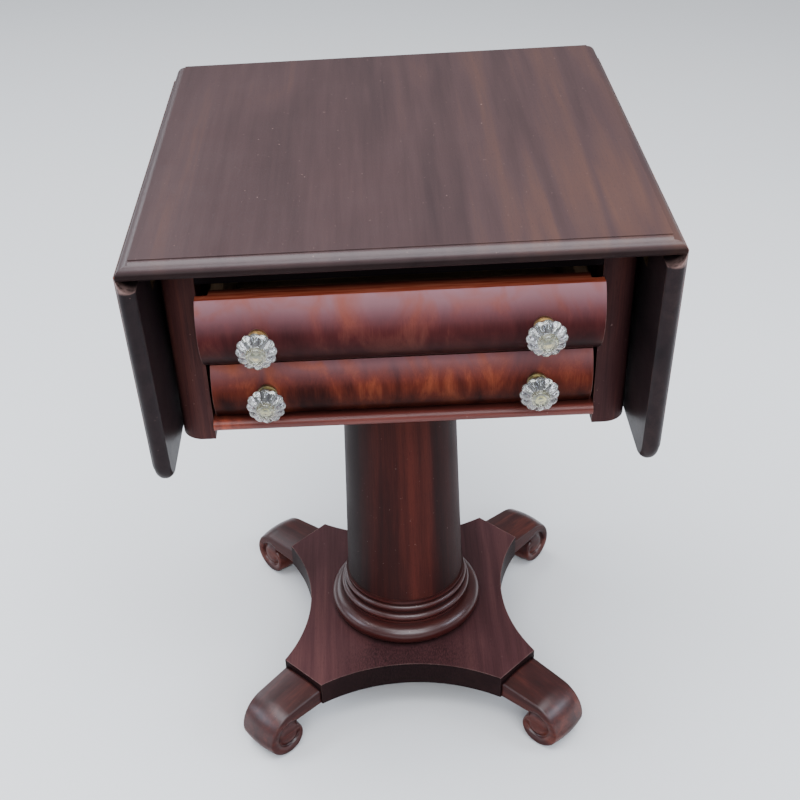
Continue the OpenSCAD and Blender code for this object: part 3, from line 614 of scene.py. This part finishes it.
# A knob's section: radius and height as shares, how deep the lobes cut the radius, and how high they ripple
KNOB_SECTION = [
    (0.36, 0.00, 0.00, 0.000),
    (0.37, 0.06, 0.00, 0.000),
    (0.42, 0.18, 0.01, 0.000),
    (0.56, 0.27, 0.03, 0.010),
    (0.76, 0.35, 0.06, 0.015),
    (0.92, 0.43, 0.09, 0.010),
    (0.99, 0.50, 0.08, 0.000),
    (1.00, 0.54, 0.07, 0.000),
    (0.98, 0.59, 0.08, 0.000),
    (0.92, 0.66, 0.10, 0.030),
    (0.84, 0.73, 0.09, 0.060),
    (0.74, 0.79, 0.07, 0.070),
    (0.64, 0.83, 0.05, 0.060),
    (0.55, 0.85, 0.02, 0.030),
    (0.50, 0.85, 0.00, 0.000),
    (0.47, 0.87, 0.00, 0.000),
    (0.45, 0.96, 0.00, 0.000),
    (0.41, 1.00, 0.00, 0.000),
    (0.34, 1.00, 0.00, 0.000),
    (0.31, 0.96, 0.00, 0.000),
    (0.27, 0.96, 0.00, 0.000),
    (0.22, 0.99, 0.00, 0.000),
    (0.12, 1.00, 0.00, 0.000),
]


def knob_rows(radius, height):
    """A knob's rows of points, from its back to its button."""
    count = LOBES * STEPS_PER_LOBE
    for share, rise, cut, ripple in KNOB_SECTION:
        row = []
        for i in range(count):
            angle = 2 * math.pi * i / count
            lobe = abs(math.cos(LOBES * angle / 2))
            r = radius * share * (1 - cut * (1 - lobe))
            up = height * (rise - ripple * (1 - lobe))
            row.append((r * math.cos(angle), r * math.sin(angle), up))
        yield row


def glass_knob(name, place, radius, height, material):
    """A pressed flower of lobes round a ringed button, pointing towards -Y from its place."""
    bm = bmesh.new()
    rows = [ring_of(bm, row) for row in knob_rows(radius, height)]
    for first, second in zip(rows, rows[1:]):
        bridge(bm, first, second)
    cap(bm, rows[0], (0, 0, 0))
    cap(bm, rows[-1], (0, 0, height))
    for edge in bm.edges:
        spoke = [math.degrees(math.atan2(v.co.y, v.co.x)) % (360 / LOBES) for v in edge.verts]
        edge.smooth = not all(abs(a - 180 / LOBES) < VALLEY_REACH for a in spoke)
    obj = new_object(name, bm, material)
    obj.matrix_world = Matrix.Translation(place) @ Matrix.Rotation(math.pi / 2, 4, "X")
    return obj


def glass_knobs(drawer, material):
    """Two knobs that stand for a drawer's CAD knobs, at the places and size those have."""
    low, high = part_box(drawer + "_knobs")
    radius = (high.z - low.z) / 2
    height = high.y - low.y
    for side, x in (("left", low.x + radius), ("right", high.x - radius)):
        place = Vector((x, high.y, (low.z + high.z) / 2))
        knob = glass_knob(f"{drawer}_{side}_glass_knob", place, radius, height, material)
        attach(knob, drawer + "_drawer")
        if side == "left":
            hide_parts(drawer + "_knobs")


# ---- scroll feet, drawn along +X from the axis, in millimetres ----

# The root, where a foot meets the platform's cant: its distance from the axis, its upper and lower edge
ROOT_S = 195.16
ROOT_TOP = 76.5
ROOT_LOW = 47.0
# Arcs of the outline: distance from the axis, height and radius
CROWN = (242.0, 31.0, 41.0)
SCROLL = (252.0, 31.0, 31.0)
TUCK = (252.0, 26.0, 26.0)
# Where the straight top meets the crown, and where the tuck meets the straight underside, in degrees
TANGENT_ANGLE = 84.7
NOTCH_ANGLE = 125.0
# Points along each stretch of the outline
TOP_STEPS = 12
CROWN_STEPS = 34
SCROLL_STEPS = 30
TUCK_STEPS = 44
UNDERSIDE_STEPS = 10
ROOT_STEPS = 6
PAD_CUT = 0.4
# Half of the width at the root and at the outer end
ROOT_HALF = 32.0
END_HALF = 28.5
END_S = 284.0
# The eye's centre, and the groove's first angle, how far it winds in degrees, and its first and last radius
EYE = (249.5, 32.5)
GROOVE_START = 132.0
GROOVE_SWEEP = 335.0
GROOVE_OUT = 21.0
GROOVE_IN = 12.6
GROOVE_DEEP = 3.4
GROOVE_FADE = 60.0
# The groove's section across its line: a steep outer wall, a floor and a long chamfer up to the eye
GROOVE_SECTION = [(-6.0, 0.0), (-4.6, 0.22), (-3.0, 0.55), (-1.4, 0.92), (0.0, 1.0), (1.2, 1.0), (1.9, 0.45),
                  (2.4, 0.0)]
GROOVE_STEPS = 90
# The band: the round of its arrises, how much lower they lie than its middle, and its loops between them
ARRIS_R = 2.6
ARRIS_STEPS = 5
CAMBER = 2.6
BAND_SHARES = (0.66, 0.33)
# Points of a side face: the step of the coarse grid, and how far rows and grid stay from other points
GRID_STEP = 3.2
ROW_GAP = 0.5
GRID_GAP = 1.2
GROOVE_GAP_IN = 7.0
GROOVE_GAP_OUT = 3.0
WELD = 1e-5


def arc(circle, first, last, steps):
    """Points on a circle (s, z, radius) between two angles in degrees, the last left out."""
    s, z, r = circle
    for i in range(steps):
        angle = math.radians(first + (last - first) * i / steps)
        yield s + r * math.cos(angle), z + r * math.sin(angle)


def straight(first, last, steps):
    """Points on a line between two points, the last left out."""
    for i in range(steps):
        share = i / steps
        yield first[0] + (last[0] - first[0]) * share, first[1] + (last[1] - first[1]) * share


def foot_outline():
    """The side view's outline, clockwise from the root's upper corner, with the root edge last."""
    crown_start = next(arc(CROWN, TANGENT_ANGLE, 0, 1))
    notch = next(arc(TUCK, NOTCH_ANGLE, 0, 1))
    points = list(straight((ROOT_S, ROOT_TOP), crown_start, TOP_STEPS))
    points += arc(CROWN, TANGENT_ANGLE, 0, CROWN_STEPS)
    points += arc(SCROLL, 0, -90, SCROLL_STEPS)
    points += arc(TUCK, -90, NOTCH_ANGLE - 360, TUCK_STEPS)
    points += straight(notch, (ROOT_S, ROOT_LOW), UNDERSIDE_STEPS)
    points += straight((ROOT_S, ROOT_LOW), (ROOT_S, ROOT_TOP), ROOT_STEPS)
    return points


def inward_normals(points):
    """Unit normals into a clockwise outline; at the root they keep to the root's plane."""
    normals = []
    for i, point in enumerate(points):
        before = Vector(points[i - 1])
        after = Vector(points[(i + 1) % len(points)])
        along = (after - before).normalized()
        inward = Vector((along.y, -along.x))
        if point[0] < ROOT_S + 0.01:
            up = 0.0
            if point[1] > ROOT_TOP - 0.01:
                up = -1.0
            if point[1] < ROOT_LOW + 0.01:
                up = 1.0
            inward = Vector((0.0, up))
        normals.append(inward)
    return normals


def half_width(s):
    """Half of a foot's width at a distance from the axis."""
    return ROOT_HALF + (END_HALF - ROOT_HALF) * (s - ROOT_S) / (END_S - ROOT_S)


def groove_radius(turned):
    """The groove's distance from the eye's centre after it has turned some degrees clockwise."""
    return GROOVE_OUT + (GROOVE_IN - GROOVE_OUT) * turned / GROOVE_SWEEP


def carved_depth(s, z):
    """How far the side face is carved at a point."""
    out = math.hypot(s - EYE[0], z - EYE[1])
    turned = (GROOVE_START - math.degrees(math.atan2(z - EYE[1], s - EYE[0]))) % 360
    if turned > GROOVE_SWEEP:
        return 0.0
    across = out - groove_radius(turned)
    fade = min(1.0, (GROOVE_SWEEP - turned) / GROOVE_FADE)
    for (near, low), (far, high) in zip(GROOVE_SECTION, GROOVE_SECTION[1:]):
        if near <= across <= far:
            return GROOVE_DEEP * fade * (low + (high - low) * (across - near) / (far - near))
    return 0.0


def inside(point, loop):
    """Whether a point is within a closed loop, by counting crossings."""
    s, z = point
    hit = False
    for (s1, z1), (s2, z2) in zip(loop, loop[1:] + loop[:1]):
        if (z1 > z) != (z2 > z) and s < s1 + (z - z1) * (s2 - s1) / (z2 - z1):
            hit = not hit
    return hit


def clear_of(point, loop, gap):
    """Whether a point keeps a gap to every point of a loop."""
    return all(math.hypot(point[0] - s, point[1] - z) > gap for s, z in loop)


def groove_points(loop):
    """Rows of points along the groove, one for each point of its section."""
    for i in range(GROOVE_STEPS + 1):
        turned = GROOVE_SWEEP * i / GROOVE_STEPS
        angle = math.radians(GROOVE_START - turned)
        for across, _ in GROOVE_SECTION:
            out = groove_radius(turned) + across
            point = (EYE[0] + out * math.cos(angle), EYE[1] + out * math.sin(angle))
            if inside(point, loop) and clear_of(point, loop, ROW_GAP):
                yield point


def grid_points(loop):
    """A coarse grid of points over the rest of a side face."""
    s = ROOT_S + GRID_STEP
    while s < END_S:
        z = GRID_STEP / 2
        while z < ROOT_TOP:
            out = math.hypot(s - EYE[0], z - EYE[1])
            near_groove = GROOVE_IN - GROOVE_GAP_IN < out < GROOVE_OUT + GROOVE_GAP_OUT
            if not near_groove and inside((s, z), loop) and clear_of((s, z), loop, GRID_GAP):
                yield s, z
            z += GRID_STEP
        s += GRID_STEP


def foot_point(s, z, y):
    """A point of a foot in metres, lowered onto its flat pad."""
    return s * MM, y * MM, max(z - PAD_CUT, 0.0) * MM


def loop_at(outline, normals, inset, from_side, share):
    """The outline moved inwards, at a place across the foot, as (s, z, y)."""
    loop = []
    for (s, z), normal in zip(outline, normals):
        s += normal.x * inset
        z += normal.y * inset
        loop.append((s, z, (half_width(s) - from_side) * share))
    return loop


def band_loops():
    """The loops of half a foot's band, from the side face's edge over the arris to the middle."""
    outline = foot_outline()
    normals = inward_normals(outline)
    loops = []
    for i in range(ARRIS_STEPS + 1):
        turn = math.radians(90 * i / ARRIS_STEPS)
        inset = CAMBER + ARRIS_R * (1 - math.sin(turn))
        loops.append(loop_at(outline, normals, inset, ARRIS_R * (1 - math.cos(turn)), 1.0))
    for share in BAND_SHARES:
        loops.append(loop_at(outline, normals, CAMBER * share * share, ARRIS_R, share))
    loops.append(loop_at(outline, normals, 0.0, ARRIS_R, 0.0))
    return loops


def band_rows(bm, loops):
    """The band's rows of vertices, from one side face's edge to the other's."""
    rows = [ring_of(bm, [foot_point(s, z, y) for s, z, y in loop]) for loop in loops]
    for loop in reversed(loops[:-1]):
        rows.append(ring_of(bm, [foot_point(s, z, -y) for s, z, y in loop]))
    return rows


def side_faces(bm, loop, first_row, last_row):
    """Both side faces within their edge loop, filled with triangles and carved."""
    count = len(loop)
    flat = [Vector(p) for p in [*loop, *groove_points(loop), *grid_points(loop)]]
    edges = [(i, (i + 1) % count) for i in range(count)]
    placed, _, triangles, origins, _, _ = delaunay_2d_cdt(flat, edges, [list(range(count))], 1, WELD)
    for side, row in ((1, first_row), (-1, last_row)):
        verts = []
        for place, origin in zip(placed, origins):
            if origin and origin[0] < count:
                verts.append(row[origin[0]])
            else:
                y = side * (half_width(place.x) - carved_depth(place.x, place.y))
                verts.append(bm.verts.new(foot_point(place.x, place.y, y)))
        for triangle in triangles:
            face = bm.faces.new([verts[i] for i in triangle])
            face.smooth = True


def scroll_foot(name, node, angle, material):
    """One foot: a cambered band with round arrises that ends in a scroll carved on both sides."""
    bm = bmesh.new()
    loops = band_loops()
    rows = band_rows(bm, loops)
    for first, second in zip(rows, rows[1:]):
        bridge(bm, first, second)
    side_faces(bm, [(s, z) for s, z, _ in loops[0]], rows[0], rows[-1])
    obj = new_object(name, bm, material)
    obj.matrix_world = Matrix.Rotation(math.radians(angle), 4, "Z")
    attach(obj, "case")
    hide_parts(node)


def scroll_feet():
    places = (("back_right", 45), ("back_left", 135), ("front_left", 225), ("front_right", 315))
    for number, (place, angle) in enumerate(places):
        # The feet get the full painted shade in their carved groove and corners
        finish = wood(place + "_foot_wood", 0, FOOT_WOODS, cloud=(34, 200), ribbon=(7, 120),
                      shift=(1.3 * number, 2.7 * number, 0), rough=0.34, coat=0.0, gloss=rounded_gloss,
                      wear=0.3, corner_shade=1.0)
        scroll_foot(place + "_scroll_foot", place + "_foot", angle, finish)


# ---- stage ----

FLOOR_HALF = 6.0
WORLD_COLOUR = (0.93, 0.95, 1.0, 1)
WORLD_STRENGTH = 0.24
# Soft panels: name, place, what they face, size, power and colour
LIGHTS = [
    ("sky_panel", (-0.2, -0.3, 3.3), (0, 0, 0.3), (3.6, 3.0), 230, (0.92, 0.95, 1.0)),
    ("front_panel_light", (0.2, -2.9, 2.5), (0, -0.1, 0.5), (2.8, 1.4), 95, (0.90, 0.94, 1.0)),
    ("back_panel_light", (-2.4, 2.8, 2.4), (0, 0, 0.5), (2.2, 1.4), 40, (0.85, 0.92, 1.0)),
    ("left_panel_light", (-3.0, -0.5, 1.7), (0, 0, 0.2), (1.8, 1.0), 36, (0.74, 0.84, 1.0)),
    ("right_panel_light", (2.8, -0.8, 2.0), (0, 0, 0.2), (1.6, 1.0), 40, (0.74, 0.84, 1.0)),
]


def lay_floor():
    bm = bmesh.new()
    signs = ((-1, -1), (1, -1), (1, 1), (-1, 1))
    bm.faces.new(ring_of(bm, [(FLOOR_HALF * x, FLOOR_HALF * y, 0) for x, y in signs]))
    floor = new_object("floor", bm, floor_finish("floor_finish"))


def soft_light(name, place, aim, size, power, colour):
    lamp = bpy.data.lights.new(name, "AREA")
    lamp.shape = "RECTANGLE"
    lamp.size, lamp.size_y = size
    lamp.energy = power
    lamp.color = colour
    obj = bpy.data.objects.new(name, lamp)
    obj.location = place
    obj.rotation_euler = (Vector(aim) - Vector(place)).to_track_quat("-Z", "Y").to_euler()
    bpy.context.scene.collection.objects.link(obj)


def light_scene():
    for light in LIGHTS:
        soft_light(*light)
    world = bpy.data.worlds.new("studio")
    world.use_nodes = True
    background = world.node_tree.nodes["Background"]
    background.inputs["Color"].default_value = WORLD_COLOUR
    background.inputs["Strength"].default_value = WORLD_STRENGTH
    bpy.context.scene.world = world


def place_camera():
    data = bpy.data.cameras.new("camera")
    data.sensor_width = CAMERA_SENSOR
    data.lens = CAMERA_LENS
    data.shift_x, data.shift_y = CAMERA_SHIFT
    camera = bpy.data.objects.new("camera", data)
    turn = Matrix.Rotation(CAMERA_YAW, 4, "Z")
    turn = turn @ Matrix.Rotation(math.pi / 2 - CAMERA_PITCH, 4, "X")
    turn = turn @ Matrix.Rotation(CAMERA_ROLL, 4, "Z")
    camera.matrix_world = Matrix.Translation(CAMERA_PLACE) @ turn
    bpy.context.scene.collection.objects.link(camera)
    bpy.context.scene.camera = camera


place_camera()
lay_floor()
light_scene()
finish_case()
finish_pedestal()
finish_inner_parts()
finish_metal()
scroll_feet()
glass = pressed_glass("pressed_glass")
glass_knobs("upper", glass)
glass_knobs("lower", glass)
